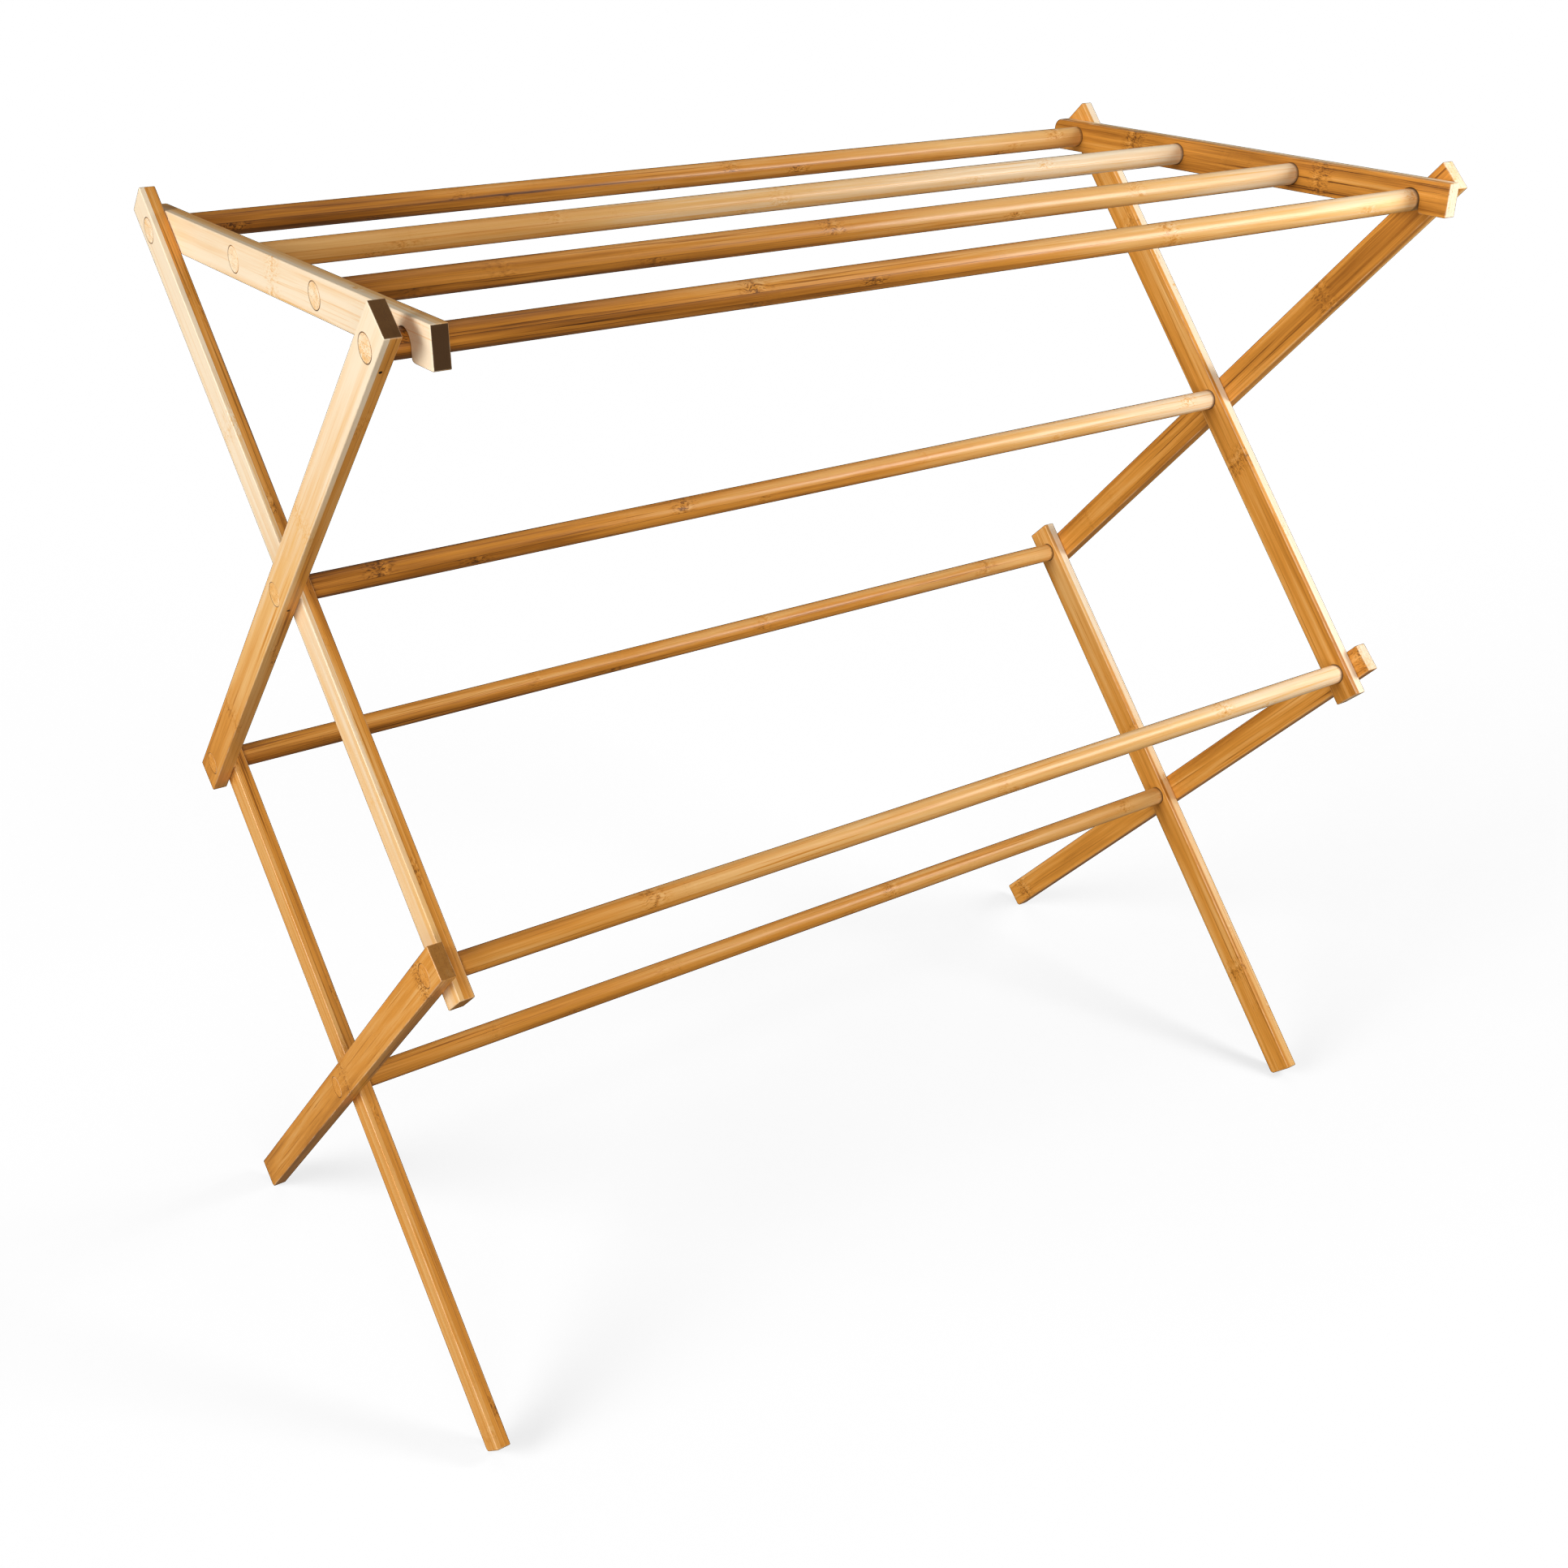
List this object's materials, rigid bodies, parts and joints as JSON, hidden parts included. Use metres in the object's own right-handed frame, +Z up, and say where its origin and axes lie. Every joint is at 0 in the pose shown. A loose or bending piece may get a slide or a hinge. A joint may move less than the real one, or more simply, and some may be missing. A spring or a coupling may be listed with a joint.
{
  "type": "folding clothes drying rack",
  "caption": "Folding bamboo drying rack: two tiers of crossed legs joined by round rungs, with a flat hinged top shelf that hooks over the front rung.",
  "frame": {"origin": "middle of the rack's footprint, on the floor", "axes": "+X along the rungs to the right as seen from the front, +Y to the back, +Z up"},
  "size_m": [0.976, 0.4716, 0.9194],
  "materials": {
    "bamboo_leg": "satin clear lacquer on laminated bamboo",
    "bamboo_rail": "satin clear lacquer on laminated bamboo",
    "bamboo_rung": "satin clear lacquer on turned bamboo",
    "steel_nail": "dull"
  },
  "bodies": {
    "lower_outer": {"left_lower_outer_leg": "bamboo_leg", "right_lower_outer_leg": "bamboo_leg", "lower_cross_rung": "bamboo_rung", "lower_outer_nails": "steel_nail"},
    "lower_inner": {"left_lower_inner_leg": "bamboo_leg", "right_lower_inner_leg": "bamboo_leg", "back_rung": "bamboo_rung", "lower_inner_nails": "steel_nail"},
    "upper_inner": {"left_upper_inner_leg": "bamboo_leg", "right_upper_inner_leg": "bamboo_leg", "front_rung": "bamboo_rung", "shelf_pivot_rung": "bamboo_rung", "upper_inner_nails": "steel_nail"},
    "upper_outer": {"left_upper_outer_leg": "bamboo_leg", "right_upper_outer_leg": "bamboo_leg", "upper_cross_rung": "bamboo_rung", "shelf_catch_rung": "bamboo_rung", "upper_outer_nails": "steel_nail"},
    "shelf": {"left_shelf_rail": "bamboo_rail", "right_shelf_rail": "bamboo_rail", "shelf_rung_back": "bamboo_rung", "shelf_rung_front": "bamboo_rung", "shelf_nails": "steel_nail"}
  },
  "joints": [
    {"name": "fold", "type": "hinge", "parent": "lower_outer", "child": "upper_inner", "pos_m": [0, -0.19809, 0.45896], "axis": [1, 0, 0], "range_deg": [0, 80]},
    {"name": "lower_cross", "type": "hinge", "parent": "lower_outer", "child": "lower_inner", "pos_m": [0, 0.0031, 0.24321], "axis": [1, 0, 0], "range_deg": [0, 80]},
    {"name": "upper_cross", "type": "hinge", "parent": "upper_inner", "child": "upper_outer", "pos_m": [0, 0.0031, 0.6747], "axis": [-1, 0, 0], "range_deg": [0, 80]},
    {"name": "shelf_lift", "type": "hinge", "parent": "upper_inner", "child": "shelf", "pos_m": [0, 0.20428, 0.89045], "axis": [-1, 0, 0], "range_deg": [0, 307.2]}
  ],
  "couplings": [
    {"joint": "lower_cross", "follows": "fold", "ratio": 1},
    {"joint": "upper_cross", "follows": "fold", "ratio": 1},
    {"joint": "shelf_lift", "follows": "fold", "ratio": 3.84}
  ]
}
